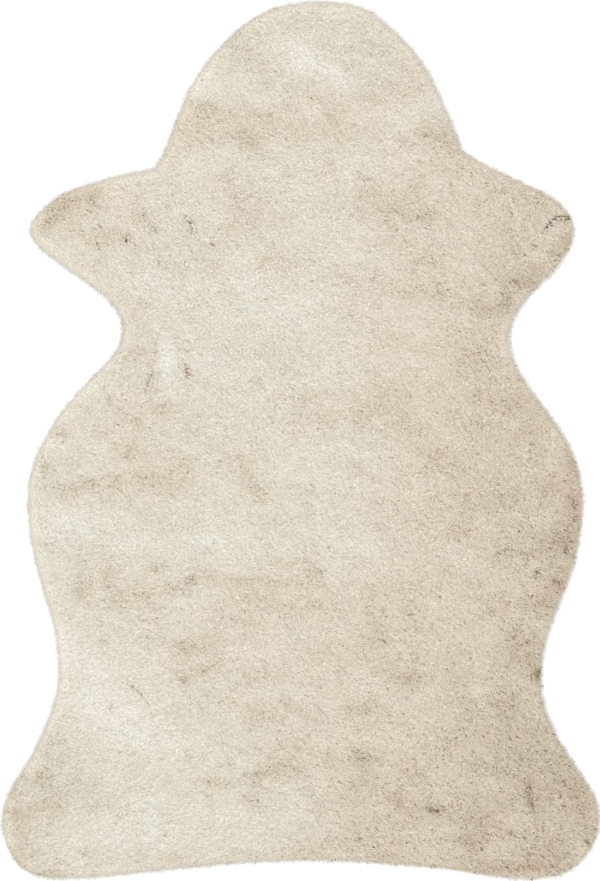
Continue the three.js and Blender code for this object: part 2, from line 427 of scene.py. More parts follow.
    ("thigh, blush", 208, -172, 16, 14, 0, -0.02, 0.3),
    ("thigh, dot", 231, -168, 6, 4, 0, -0.22, -0.1),
    ("thigh, grey field", 150, -178, 44, 38, 0, 0.01, 0.1),
    # left thigh
    ("first tuft row, a", -225, -132, 7, 10, 0, -0.10, 0.0),
    ("first tuft row, b", -224, -156, 8, 12, 0, -0.30, 0.2),
    ("first tuft row, c", -196, -138, 8, 15, -10, -0.26, 0.4),
    ("first tuft row, d", -187, -164, 8, 9, 0, -0.22, 0.1),
    ("first tuft row, e", -150, -131, 10, 6, 20, -0.30, 0.1),
    ("first tuft row, f", -162, -158, 10, 8, 30, -0.20, 0.5),
    ("first tuft row, g", -128, -152, 28, 4, 12, -0.24, -0.1),
    ("first tuft row, h", -113, -144, 6, 5, 20, -0.32, -0.2),
    ("first tuft row, i", -92, -142, 6, 7, 0, -0.30, 0.1),
    ("first tuft row, j", -60, -145, 19, 4, 0, -0.34, -0.1),
    ("first tuft row, k", -14, -147, 42, 5, -3, -0.22, 0.1),
    ("first tuft row, l", -30, -165, 36, 12, 0, -0.04, 0.2),
    ("first tuft row, m", 15, -136, 10, 9, -30, -0.30, 0.1),
    ("first tuft row, n", 8, -171, 20, 4, 0, -0.24, -0.1),
    ("first tuft row, o", -16, -128, 13, 4, 0, -0.14, 0.2),
    ("second tuft row, a", -116, -214, 15, 8, 0, -0.34, 0.1),
    ("second tuft row, b", -88, -210, 22, 10, 0, -0.13, 0.1),
    ("second tuft row, c", -150, -205, 11, 8, 0, -0.14, 0.0),
    ("third tuft row, a", -101, -237, 8, 6, 0, -0.30, -0.2),
    ("third tuft row, b", -86, -232, 12, 11, 0, -0.18, 0.2),
    ("third tuft row, c", -120, -238, 14, 14, 0, -0.12, 0.0),
    ("third tuft row, d", -50, -243, 9, 9, 0, -0.13, 0.0),
    ("left thigh glow", -216, -250, 32, 44, 12, 0.14, 0.2),
    ("left thigh glow, low", -172, -292, 36, 26, -30, 0.18, 0.2),
    ("left thigh glow, top", -240, -205, 16, 26, 0, 0.14, 0.1),
    ("left knee glow", -230, -320, 40, 18, 0, -0.08, -0.1),
    ("middle thigh, a", -36, -280, 17, 10, 0, -0.18, 0.3),
    ("middle thigh, b", -50, -291, 6, 7, 0, -0.20, -0.1),
    ("middle thigh, c", -12, -270, 9, 6, -30, -0.18, 0.3),
    ("middle thigh, d", 8, -282, 14, 5, -20, -0.18, 0.0),
    ("middle thigh, e", 12, -238, 13, 12, 0, 0.00, 0.2),
    ("knee, a", 72, -207, 22, 13, -14, -0.10, 0.1),
    ("knee, b", 84, -190, 9, 6, 0, -0.10, 0.0),
    ("knee, c", 110, -246, 15, 12, -15, -0.22, -0.2),
    ("knee, d", 157, -241, 8, 5, 0, -0.20, 0.0),
    ("knee, e", 62, -276, 18, 6, 0, -0.30, 0.1),
    ("knee, f", 118, -225, 5, 4, 0, -0.20, 0.0),
    ("knee glow", 66, -246, 24, 10, 0, 0.06, -0.2),
    # right leg
    ("right leg, upper", 230, -214, 22, 20, 20, -0.30, 0.1),
    ("right leg, edge", 245, -242, 9, 14, 0, -0.38, 0.0),
    ("right leg, knot", 212, -270, 13, 15, 0, -0.06, 0.1),
    ("right leg, brown", 205, -285, 62, 34, 0, -0.16, 0.1),
    ("right leg, glow", 184, -258, 12, 5, -10, 0.16, 0.0),
    ("right foot, brown", 262, -350, 52, 62, 0, -0.24, -0.1),
    ("right foot, inside", 180, -320, 34, 26, 0, -0.10, -0.1),
    ("right foot, knot", 234, -362, 10, 18, 12, -0.14, -0.2),
    ("right foot, line", 202, -339, 16, 7, 0, -0.22, 0.0),
    ("right foot, edge", 288, -372, 12, 26, 10, -0.16, 0.2),
    ("right foot, low brown", 190, -398, 40, 34, 0, -0.24, -0.1),
    ("right foot, low knot", 173, -415, 7, 9, 0, -0.26, -0.2),
    ("right foot, glow", 217, -396, 15, 18, 0, 0.16, 0.1),
    ("right foot, grey", 150, -345, 16, 18, 0, 0.10, 0.1),
    ("right foot, tip glow", 286, -425, 9, 8, 30, 0.12, -0.1),
    ("right foot, bottom edge", 225, -440, 46, 5, 0, -0.40, 0.3),
    ("right foot, bottom", 262, -424, 24, 18, 0, -0.26, 0.1),
    ("sole, a", 64, -325, 15, 9, 0, -0.34, -0.1),
    ("sole, b", 62, -350, 7, 9, -20, -0.22, 0.1),
    ("sole, c", 104, -336, 12, 8, -20, -0.16, 0.0),
    ("sole, d", 102, -370, 14, 9, -20, -0.28, 0.0),
    ("sole, e", 138, -380, 13, 5, -8, -0.46, 0.0),
    ("sole, f", 116, -389, 7, 5, 0, -0.24, -0.2),
    ("sole, g", 40, -414, 44, 9, 0, -0.05, 0.2),
    ("sole, h", 32, -328, 9, 10, 0, -0.14, 0.0),
    # left foot and the foot edge
    ("left foot bar", -240, -362, 50, 15, -6, -0.10, -0.1),
    ("left foot bar, right", -172, -367, 42, 6, -8, 0.13, -0.1),
    ("left foot, a", -265, -349, 7, 7, 0, -0.32, 0.0),
    ("left foot, b", -264, -378, 13, 6, 0, -0.24, 0.1),
    ("left foot, c", -292, -383, 11, 7, 0, -0.34, -0.1),
    ("left foot, d", -293, -364, 6, 7, 0, -0.30, 0.1),
    ("left foot, e", -285, -347, 5, 5, 0, -0.18, 0.1),
    ("left foot, olive", -256, -312, 6, 11, -20, -0.14, -0.3),
    ("left foot, tip", -290, -424, 12, 16, -20, -0.24, 0.1),
    ("left foot, tip green", -288, -402, 12, 8, 0, -0.20, -0.4),
    ("left foot glow", -170, -402, 60, 18, 0, 0.08, -0.1),
    ("middle foot glow", -78, -385, 32, 9, -4, 0.05, 0.0),
    ("middle foot bar, a", -85, -352, 20, 6, 3, -0.20, 0.1),
    ("middle foot bar, b", -42, -343, 15, 5, 16, -0.50, -0.4),
    ("middle foot bar, c", -50, -366, 10, 11, 0, -0.16, 0.2),
    ("middle foot bar, d", -14, -334, 18, 17, 0, -0.16, 0.3),
    ("middle foot bar, e", -91, -375, 6, 7, 0, -0.12, 0.0),
    ("foot edge, a", -130, -431, 15, 5, 6, -0.26, 0.3),
    ("foot edge, b", -166, -430, 10, 12, 0, -0.13, 0.0),
    ("foot edge, c", -54, -425, 26, 4, 0, -0.24, 0.0),
    ("foot edge, d", 4, -426, 20, 6, 0, -0.18, 0.2),
    ("foot edge, e", -256, -447, 22, 5, 0, -0.32, -0.2),
]

# Where the pile parts: the line's points, how wide the parting is and how much darker it is
# painted there, as painted shade in the parting.
PARTINGS = [
    ("crack in the right tip", [(278, 229), (264, 229), (258, 224), (252, 215)], 1.9, 1.10),
    ("crack's end", [(275, 227), (268, 228)], 3.0, 0.80),
    ("right palm dash", [(243, 199), (238, 201)], 1.5, 0.60),
    ("right arm dash", [(221, 164), (217, 163)], 1.8, 0.65),
    ("right shoulder dashes", [(196, 256), (200, 254)], 1.3, 0.50),
    ("right shoulder dot", [(208, 257), (210, 255)], 1.3, 0.50),
    ("chest dash", [(59, 275), (66, 269), (72, 268)], 2.0, 0.42),
    ("chest dot", [(123, 287), (125, 285)], 2.2, 0.35),
    ("waist dot", [(50, 127), (53, 128)], 2.2, 0.35),
    ("left comma", [(-117, 229), (-112, 225), (-110, 218), (-110, 214)], 1.8, 0.95),
    ("left elbow dot", [(-149, 216), (-152, 218)], 2.0, 0.60),
    ("left palm dot", [(-177, 209), (-178, 205)], 2.2, 0.90),
    ("left breast dot", [(-92, 200), (-89, 201)], 2.4, 0.75),
    ("left rib dot", [(-118, 183), (-117, 181)], 2.2, 0.65),
    ("left rib mark", [(-149, 186), (-145, 182)], 1.6, 0.40),
    ("waist crease, top", [(-144, 110), (-148, 98), (-149, 82)], 1.2, 0.38),
    ("waist crease, foot", [(-152, 70), (-155, 60), (-158, 52)], 1.5, 0.55),
    ("waist spot", [(-116, 73), (-115, 66)], 2.0, 0.60),
    ("waist low spot", [(-115, 54), (-114, 51)], 1.6, 0.25),
    ("hip dash", [(-197, 45), (-195, 41)], 2.2, 0.35),
    ("hip spot", [(-120, 8), (-118, 8)], 2.4, 0.25),
    ("hip column dash", [(-169, 23), (-167, 17)], 1.6, 0.50),
    ("hip column foot", [(-190, -43), (-186, -49)], 2.0, 0.60),
    ("hip column rust", [(-181, -18), (-176, -14)], 2.0, 0.35),
    ("outer hip dash", [(-221, -45), (-213, -42)], 1.8, 0.50),
    ("thigh row dash", [(-117, -145), (-110, -142)], 1.5, 0.50),
    ("thigh spot", [(-204, -208), (-199, -207)], 2.0, 0.60),
    ("thigh dark spot", [(-197, -275), (-192, -273)], 2.0, 0.65),
    ("thigh third spot", [(-121, -246), (-118, -249)], 2.0, 0.60),
    ("thigh arc, top", [(-176, -250), (-168, -256), (-162, -262)], 1.1, 0.70),
    ("thigh arc, foot", [(-159, -266), (-154, -276), (-150, -288)], 1.2, 0.32),
    ("thigh dash", [(-145, -227), (-141, -230)], 1.2, 0.45),
    ("thigh low dash", [(-122, -241), (-117, -244)], 1.2, 0.45),
    ("knee dash", [(-235, -282), (-228, -286)], 1.6, 0.40),
    ("foot spot", [(-116, -325), (-112, -328)], 1.6, 0.45),
    ("left foot dash", [(-227, -420), (-222, -425)], 1.6, 0.40),
    ("right hip dot, a", [(281, -63), (283, -67)], 3.0, 0.60),
    ("right hip dot, b", [(274, -57), (277, -59)], 2.2, 0.40),
    ("right hip dot, c", [(283, -80), (282, -84)], 2.6, 0.50),
    ("right hip dot, d", [(275, -110), (273, -113)], 2.4, 0.45),
    ("right hip dot, e", [(244, -137), (246, -134)], 3.0, 0.90),
    ("right hip dot, f", [(236, -120), (234, -121)], 2.2, 0.45),
    ("right hip dot, g", [(252, -53), (254, -55)], 2.0, 0.45),
    ("right hip dash", [(262, -144), (269, -146)], 2.4, 0.45),
    ("right thigh edge dot", [(246, -238), (244, -244)], 2.6, 0.60),
    ("right foot dot, a", [(240, -380), (238, -372), (234, -358)], 3.0, 0.35),
    ("right foot dot, b", [(217, -403), (220, -406)], 2.0, 0.80),
    ("right foot dot, c", [(230, -406), (232, -410)], 2.0, 0.50),
    ("right foot dot, d", [(294, -411), (297, -414)], 2.0, 0.70),
    ("right foot dot, e", [(238, -424), (234, -432)], 2.4, 0.40),
    ("sole dash", [(132, -379), (142, -381)], 1.8, 0.42),
]

# How the strands lie: the way they lean to, counted counterclockwise from +X, over each place.
LAY = [
    # place, x, y, reach, heading
    ("head", 0, 380, 110, -26),
    ("face", 0, 300, 80, -20),
    ("left arm", -190, 220, 80, -30),
    ("right arm", 200, 220, 90, -40),
    ("chest", 0, 170, 110, -26),
    ("left waist", -150, 100, 50, -10),
    ("belly", 0, 10, 130, -24),
    ("left hip", -200, -20, 80, -28),
    ("right hip", 220, -60, 100, -48),
    ("left thigh", -200, -150, 60, 18),
    ("middle thigh", -20, -200, 120, -25),
    ("right thigh", 180, -200, 80, -46),
    ("left leg", -190, -290, 70, 8),
    ("left foot", -210, -400, 70, 16),
    ("foot edge", -90, -430, 60, 24),
    ("right foot", 200, -370, 90, -26),
    ("sole", 60, -350, 80, -26),
]


def tone_at(x, y):
    """The tone and the rosiness of the pile over a point."""
    tone = np.full(len(x), FIELD_TONE)
    rosy = FIELD_ROSE + RIGHT_ROSE * smooth_step((x + 20 * MM) / (160 * MM))
    # the falls to the right: partly the pile's own tan, partly painted shade
    for start, end, change in FIELD_FALLS_AND_SHADE:
        tone += MARK_STRENGTH * change * smooth_step((x - start * MM) / ((end - start) * MM))
    for _, px, py, across, along, turn, change, blush in PATCHES:
        c, s = math.cos(math.radians(turn)), math.sin(math.radians(turn))
        dx, dy = x - px * MM, y - py * MM
        u = (dx * c + dy * s) / (across * MM)
        v = (dy * c - dx * s) / (along * MM)
        strength = np.exp(-(u * u + v * v))
        tone += MARK_STRENGTH * change * strength
        rosy += 0.5 * blush * strength
    for amount, size, seed, wide in TONE_NOISE:
        tone += amount * soft_noise(x, y, size * MM, seed, wide)
    for amount, size, seed in ROSE_NOISE:
        rosy += amount * soft_noise(x, y, size * MM, seed)
    return tone, rosy


def lie_at(x, y):
    """The heading that the strands lean to and how far they lean from upright."""
    total = np.full(len(x), 1e-6)
    across, along = 1e-6 * np.ones(len(x)), np.zeros(len(x))
    for _, px, py, reach, heading in LAY:
        away = ((x - px * MM) ** 2 + (y - py * MM) ** 2) / (reach * MM) ** 2
        weight = np.exp(-away)
        across += weight * math.cos(math.radians(heading))
        along += weight * math.sin(math.radians(heading))
        total += weight
    heading = np.arctan2(along / total, across / total)
    for amount, size, seed in LIE_NOISE:
        heading += amount * soft_noise(x, y, size * MM, seed)
    amount, size, seed = LEAN_NOISE
    return heading, LEAN + amount * soft_noise(x, y, size * MM, seed)


def partings_at(points):
    """How much darker the pile is painted at each point for its partings, as painted shade, and
    the way it leans off.
    """
    dark = np.zeros(len(points))
    off = np.zeros((len(points), 2))
    for _, places, width, depth in PARTINGS:
        line = np.array(places, float) * MM
        for a, b in zip(line[:-1], line[1:]):
            reach = 4.0 * width * MM
            low, high = np.minimum(a, b) - reach, np.maximum(a, b) + reach
            near = np.flatnonzero(np.all((points > low) & (points < high), axis=1))
            away = points[near] - from_line(points[near], a, b)
            far = np.linalg.norm(away, axis=1)
            strength = depth * np.exp(-((far / (width * MM)) ** 2))
            stronger = strength > dark[near]
            rows = near[stronger]
            dark[rows] = strength[stronger]
            off[rows] = (away / np.maximum(far, 1e-9)[:, None])[stronger]
    return dark, off * np.minimum(dark, 1.0)[:, None]


def pit_shade_at(points):
    """How much darker the pile is painted in the small gaps between its tufts: painted shade."""
    middle, number = nearest_middle(points, PIT_SPACING, 51)
    depth = np.random.default_rng(52).uniform(0, 1, 512 * 512)[number] ** 3
    turn = np.random.default_rng(53).normal(math.radians(-33), 0.45, 512 * 512)[number]
    dx, dy = (points - middle).T
    u = (dx * np.cos(turn) + dy * np.sin(turn)) / PIT_REACH[0]
    v = (dy * np.cos(turn) - dx * np.sin(turn)) / PIT_REACH[1]
    return PIT_SHADE * depth * np.exp(-(u * u + v * v))


# ---------------------------------------------------------------- materials

def palette(nodes, colours, name):
    ramp = nodes.new("ShaderNodeValToRGB")
    ramp.label = name
    steps = ramp.color_ramp
    steps.elements[0].position, steps.elements[0].color = colours[0][0], (*colours[0][1], 1)
    steps.elements[1].position, steps.elements[1].color = colours[-1][0], (*colours[-1][1], 1)
    for place, colour in colours[1:-1]:
        steps.elements.new(place).color = (*colour, 1)
    return ramp


def srgb(r, g, b):
    """A colour as it is seen, from 0 to 255, as the light that it returns."""
    def light(v):
        v = v / 255
        return v / 12.92 if v <= 0.04045 else ((v + 0.055) / 1.055) ** 2.4
    return light(r), light(g), light(b)


YARN_STEPS = (0.0, 0.12, 0.25, 0.5, 0.75, 1.0)  # tones


def yarn(*shades):
    """A palette, with a shade for each of the steps."""
    return [(place, srgb(*shade)) for place, shade in zip(YARN_STEPS, shades)]


GREENER = yarn(
    (96, 84, 67), (146, 132, 110), (181, 170, 147),
    (201, 198, 182), (215, 217, 209), (226, 228, 227),
)
ROSIER = yarn(
    (102, 83, 65), (153, 129, 107), (188, 169, 145),
    (208, 195, 178), (220, 215, 205), (231, 228, 225),
)
MIDDLE = yarn(
    (99, 83, 66), (150, 130, 108), (185, 169, 146),
    (205, 196, 180), (217, 216, 208), (228, 228, 226),
)
# The yarn at the edge, where the light comes from the floor as well. It is paler than the yarn of
# the top: painted light that lifts the shade along the edge.
EDGE_YARN_PAINTED_LIGHT = yarn(
    (96, 83, 67), (148, 133, 113), (202, 184, 162),
    (226, 211, 195), (239, 236, 231), (244, 243, 241),
)


def yarn_colour(nodes, links, tone, rosy, greener_steps, rosier_steps):
    """The yarn's colour for a tone and a rosiness."""
    greener = palette(nodes, greener_steps, "greener cream")
    rosier = palette(nodes, rosier_steps, "rosier cream")
    blend = nodes.new("ShaderNodeMix")
    blend.data_type = "RGBA"
    links.new(tone, greener.inputs["Fac"])
    links.new(tone, rosier.inputs["Fac"])
    links.new(rosy, blend.inputs["Factor"])
    links.new(greener.outputs["Color"], blend.inputs["A"])
    links.new(rosier.outputs["Color"], blend.inputs["B"])
    return blend.outputs["Result"]


def start_material(name):
    """A new material, its nodes, its links and the shader that it ends in."""
    material = bpy.data.materials.new(name)
    material.use_nodes = True
    nodes, links = material.node_tree.nodes, material.node_tree.links
    return material, nodes, links, nodes["Principled BSDF"]


def add_node(nodes, links, kind, inputs, **settings):
    """A node with its inputs set to values or joined to other nodes' outputs."""
    node = nodes.new("ShaderNode" + kind)
    for name, value in settings.items():
        setattr(node, name, value)
    for place, value in inputs.items():
        if isinstance(value, bpy.types.NodeSocket):
            links.new(value, node.inputs[place])
        else:
            node.inputs[place].default_value = value
    return node


def wool_material(name, greener_steps, rosier_steps):
    """The yarn: its colour is read from where each strand lies on the tone and hue map."""
    material, nodes, links, wool = start_material(name)
    place = add_node(nodes, links, "UVMap", {}, uv_map="OFBake")
    split = add_node(nodes, links, "SeparateXYZ", {"Vector": place.outputs["UV"]})
    colour_out = yarn_colour(
        nodes, links, split.outputs["X"], split.outputs["Y"], greener_steps, rosier_steps
    )
    links.new(colour_out, wool.inputs["Base Color"])
    wool.inputs["Roughness"].default_value = 0.9
    wool.inputs["Specular IOR Level"].default_value = 0.15
    wool.inputs["Sheen Weight"].default_value = 0.12
    wool.inputs["Sheen Roughness"].default_value = 0.5
    return material


def mass_material():
    """The dense foot of the pile between the strands, in the same tones but painted darker as
    shade, with painted shade in its fine gaps.
    """
    material, nodes, links, wool = start_material("pile_mass")

    def node(kind, inputs, **settings):
        return add_node(nodes, links, kind, inputs, **settings)

    def drawn_noise(across, scale, detail):
        """Noise that is drawn out along the lie of the pile."""
        drawn = node("Mapping", {"Vector": turned.outputs["Vector"], "Scale": (across, 1.0, 1.0)})
        return node(
            "TexNoise", {"Vector": drawn.outputs["Vector"], "Scale": scale, "Detail": detail}
        ).outputs["Fac"]

    where = node("TexCoord", {}).outputs["Object"]
    place = node("Attribute", {}, attribute_name="tone_and_rosiness")
    split = node("SeparateXYZ", {"Vector": place.outputs["Vector"]})
    sway = node("TexNoise", {"Vector": where, "Scale": 60.0, "Detail": 1.0})
    swayed = node(
        "VectorMath", {0: sway.outputs["Color"], 1: (MASS_SWAY, MASS_SWAY, 0.0), 2: where},
        operation="MULTIPLY_ADD",
    )
    turned = node(
        "VectorRotate", {"Vector": swayed.outputs["Vector"], "Angle": math.radians(30)},
        rotation_type="Z_AXIS",
    )
    mottle = drawn_noise(0.42, 1500.0, 2.0)
    # painted shade in the small gaps of the mass
    gap_shade = node("MapRange", {
        "Value": mottle, "From Min": 0.28, "From Max": 0.44, "To Min": -MASS_GAP_SHADE, "To Max": 0.0,
    })
    usual = FIELD_TONE - MASS_SHADE - MASS_FIBRES / 2
    deeper = node("MapRange", {  # the painted shade in the gaps is deeper where the pile is darker
        "Value": split.outputs["X"], "From Min": usual - 0.3, "From Max": usual + 0.08,
        "To Min": 1.0 + 0.3 * CONTRAST_GAIN, "To Max": 1.0 - 0.08 * CONTRAST_GAIN,
    })
    gap_shaded = node(
        "Math", {0: gap_shade.outputs["Result"], 1: deeper.outputs["Result"], 2: split.outputs["X"]},
        operation="MULTIPLY_ADD",
    )
    fibres = drawn_noise(0.14, 2600.0, 1.0)
    tone = node(
        "Math", {0: fibres, 1: MASS_FIBRES, 2: gap_shaded.outputs["Value"]}, operation="MULTIPLY_ADD"
    )
    rose = ROSE_WITH_TONE * MASS_FIBRES
    even = node("Math", {0: fibres, 1: rose, 2: -0.5 * rose}, operation="MULTIPLY_ADD")
    rosy = node(
        "Math", {0: split.outputs["Y"], 1: even.outputs["Value"]}, operation="ADD", use_clamp=True
    )
    colour_out = yarn_colour(
        nodes, links, tone.outputs["Value"], rosy.outputs["Value"], GREENER, ROSIER
    )
    links.new(colour_out, wool.inputs["Base Color"])
    bump = node("Bump", {"Strength": 0.35, "Distance": 1.0 * MM, "Height": mottle})
    links.new(bump.outputs["Normal"], wool.inputs["Normal"])
    wool.inputs["Roughness"].default_value = 0.95
    wool.inputs["Specular IOR Level"].default_value = 0.1
    return material


def backing_material():
    """The plain woven backing under the pile."""
    material, nodes, links, cloth = start_material("woven_backing")
    where = add_node(nodes, links, "TexCoord", {})
    weave = add_node(nodes, links, "TexChecker", {
        "Vector": where.outputs["Object"], "Scale": 900.0,
        "Color1": (*srgb(205, 196, 178), 1), "Color2": (*srgb(190, 180, 160), 1),
    })
    links.new(weave.outputs["Color"], cloth.inputs["Base Color"])
    cloth.inputs["Roughness"].default_value = 0.9
    return material


# ---------------------------------------------------------------- cloth

def make_cloth():
    """The sheet that the strands stand in: the frame's solid, lowered and drawn in at its edge."""
    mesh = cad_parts["rug"].data.copy()
    mesh.name = "rug_cloth"
    mesh.materials.clear()
    cloth = bpy.data.objects.new("rug_cloth", mesh)
    bpy.context.scene.collection.objects.link(cloth)
    work = bmesh.new()
    work.from_mesh(mesh)
    bmesh.ops.remove_doubles(work, verts=work.verts, dist=0.01 * MM)
    bmesh.ops.subdivide_edges(work, edges=work.edges, cuts=1, use_grid_fill=True)
    bmesh.ops.triangulate(work, faces=work.faces)
    work.to_mesh(mesh)
    work.free()
    mesh.materials.append(mass_material())
    mesh.materials.append(backing_material())

    outline = outline_of(cloth)
    at = np.array([v.co for v in mesh.vertices])
    depth, outwards = from_edge(at[:, :2], outline)
    drawn = CLOTH_INSET * (1.0 - smooth_step(depth / EDGE_REACH))
    at[:, :2] -= outwards * drawn[:, None]
    at[:, 2] *= CLOTH_SHARE
    mesh.vertices.foreach_set("co", at.ravel())
    mesh.update()
    work = bmesh.new()
    work.from_mesh(mesh)
    under = [face for face in work.faces if face.calc_center_median().z < 0.01 * MM]
    flat = bmesh.ops.dissolve_faces(work, faces=under)["region"]
    bmesh.ops.triangulate(work, faces=flat)
    work.to_mesh(mesh)
    work.free()
    at = np.array([v.co for v in mesh.vertices])
    tone, rosy = tone_at(at[:, 0], at[:, 1])
    shade = mesh.attributes.new("tone_and_rosiness", "FLOAT_VECTOR", "POINT")
    # the dense foot of the pile is painted darker than the strands: painted shade
    both = np.column_stack([tone - MASS_SHADE - MASS_FIBRES / 2, rosy, np.zeros(len(tone))])
    shade.data.foreach_set("vector", np.clip(both, 0.0, 1.0).ravel())
    for face in mesh.polygons:
        face.material_index = int(face.center.z < 0.01 * MM)
        face.use_smooth = face.material_index == 0
    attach(cloth, "root")
    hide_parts("rug")
    return cloth, outline


# ---------------------------------------------------------------- strands

def mesh_of(piece):
    """The piece's points and its triangles, and the piece is taken away."""
    points = np.array([v.co for v in piece.data.vertices])
    faces = np.array([list(f.vertices) for f in piece.data.polygons])
    bpy.data.objects.remove(piece)
    return points, faces


def start_tip(girth, belly):
    """The upper part of a strand or curl, from its belly to its tip."""
    bpy.ops.object.select_all(action="DESELECT")
    tip_part = STRAND_LENGTH * (1.0 - belly)
    bpy.ops.mesh.primitive_cone_add(
        vertices=3, radius1=girth, radius2=0.0, depth=tip_part,
        location=(0, 0, STRAND_LENGTH - tip_part / 2),
    )
    return bpy.context.object


def model_strand():
    """One strand, a closed blade that is widest at its belly, upright on the origin."""
    strand = start_tip(STRAND_GIRTH, STRAND_BELLY)
    bpy.ops.object.transform_apply(location=True, rotation=True, scale=True)
    bpy.ops.object.mode_set(mode="EDIT")
    bpy.ops.mesh.select_all(action="DESELECT")
    bpy.ops.mesh.select_mode(type="VERT")
    work = bmesh.from_edit_mesh(strand.data)
    for corner in work.verts:
        corner.select = corner.co.y > 0.5 * STRAND_GIRTH
    bmesh.update_edit_mesh(strand.data)
    bpy.ops.transform.translate(value=(0, -0.7 * STRAND_GIRTH, -STRAND_LENGTH * STRAND_BELLY))
    bpy.ops.object.mode_set(mode="OBJECT")
    return mesh_of(strand)


def model_curl():
    """One curl of the side, a closed spindle that is thickest at its belly, on the origin."""
    curl = start_tip(CURL_GIRTH, CURL_BELLY)
    bpy.ops.object.mode_set(mode="EDIT")
    bpy.ops.mesh.select_all(action="DESELECT")
    bpy.ops.mesh.select_mode(type="FACE")
    work = bmesh.from_edit_mesh(curl.data)
    for face in work.faces:
        face.select = face.normal.z < -0.9
    bmesh.update_edit_mesh(curl.data)
    bpy.ops.mesh.extrude_region_move(
        TRANSFORM_OT_translate={"value": (0, 0, -STRAND_LENGTH * CURL_BELLY)}
    )
    bpy.ops.mesh.merge(type="COLLAPSE")
    bpy.ops.mesh.select_all(action="SELECT")
    bpy.ops.mesh.quads_convert_to_tris()
    bpy.ops.mesh.normals_make_consistent(inside=False)
    bpy.ops.object.mode_set(mode="OBJECT")
    bpy.ops.object.transform_apply(location=True, rotation=True, scale=True)
    return mesh_of(curl)


def staggered_places(spacing, jitter, seed):
    """Places over the whole rug in staggered rows, each moved a little at random."""
    across = np.arange(RUG_LOW.x - spacing, RUG_HIGH.x + spacing, spacing)
    along = np.arange(RUG_LOW.y - spacing, RUG_HIGH.y + spacing, spacing * math.sqrt(0.75))
    x, y = np.meshgrid(across, along)
    x = x + (np.arange(len(along)) % 2)[:, None] * spacing / 2
    places = np.stack([x.ravel(), y.ravel()], 1)
    rng = np.random.default_rng(seed)
    return places + rng.uniform(-jitter, jitter, places.shape) * spacing


def plant_top(cloth, outline):
    """Feet of the strands on the top of the cloth, with their depth inside the edge."""
    places = staggered_places(STRAND_SPACING, 0.38, 42)
    depth, outwards = from_edge(places, outline)
    kept = depth > CLOTH_INSET + 0.5 * MM
    places, depth, outwards = places[kept], depth[kept], outwards[kept]
    tree = BVHTree.FromObject(cloth, bpy.context.evaluated_depsgraph_get())
    down = Vector((0, 0, -1))
    found = [tree.ray_cast(Vector((x, y, 1.0)), down)[0] for x, y in places]
    height = np.array([f.z if f else 0.0 for f in found])
    return np.column_stack([places, height]), depth, outwards


def plant_side(outline):
    """Feet of the curls on the upright side of the cloth."""
    after = np.roll(outline, -1, 0)
    lengths = np.linalg.norm(after - outline, axis=1)
    ends = np.cumsum(lengths)
    steps = np.arange(0, ends[-1], STRAND_SPACING)
    which = np.searchsorted(ends, steps)
    share = (steps - (ends - lengths)[which]) / lengths[which]
    base = outline[which] + share[:, None] * (after - outline)[which]
    along = (after - outline)[which] / lengths[which][:, None]
    outwards = np.stack([along[:, 1], -along[:, 0]], 1)
    rng = np.random.default_rng(43)
    feet, out = [], []
    for height in SIDE_ROWS:
        slide = rng.uniform(-0.5, 0.5, len(base)) * STRAND_SPACING
        at = base - outwards * CLOTH_INSET + along * slide[:, None]
        lift = height + rng.uniform(-0.8, 0.8, len(base)) * MM
        feet.append(np.column_stack([at, lift]))
        out.append(outwards)
    return np.concatenate(feet), np.concatenate(out)


def contrast_at(tone):
    """How strongly the strands differ from each other: more where the pile is darker."""
    return 1.0 + CONTRAST_GAIN * np.clip(FIELD_TONE - tone, -0.08, 0.24)


def colour(foot, tip, depth, seed):
    """The tone and the rosiness of the strands, from the place where their upper part shows."""
    rng = np.random.default_rng(seed)
    count = len(foot)
    seen = foot[:, :2] + SHOWING * (tip - foot)[:, :2]
    tone, rosy = tone_at(seen[:, 0], seen[:, 1])
    dark, _ = partings_at(seen)
    own_tone = -STRAND_TONE * rng.gumbel(-0.577, 1.0, count)
    own_tone = contrast_at(tone) * own_tone
    # painted shade in the partings, and in the pits between tufts
    tone = tone - dark + own_tone - contrast_at(tone) * pit_shade_at(seen)
    # painted shade further in from the edge, and painted light at the very edge
    for amount, (middle, reach) in ((-RIM_PAINTED_SHADE, RIM_PAINTED_SHADE_AT), (RIM_PAINTED_LIGHT, RIM_PAINTED_LIGHT_AT)):
        tone = tone + amount * np.exp(-(((depth - middle) / reach) ** 2))
    rosy = rosy + ROSE_WITH_TONE * own_tone + rng.normal(0, 0.02, count)
    return tone, np.clip(rosy, 0.03, 0.97)


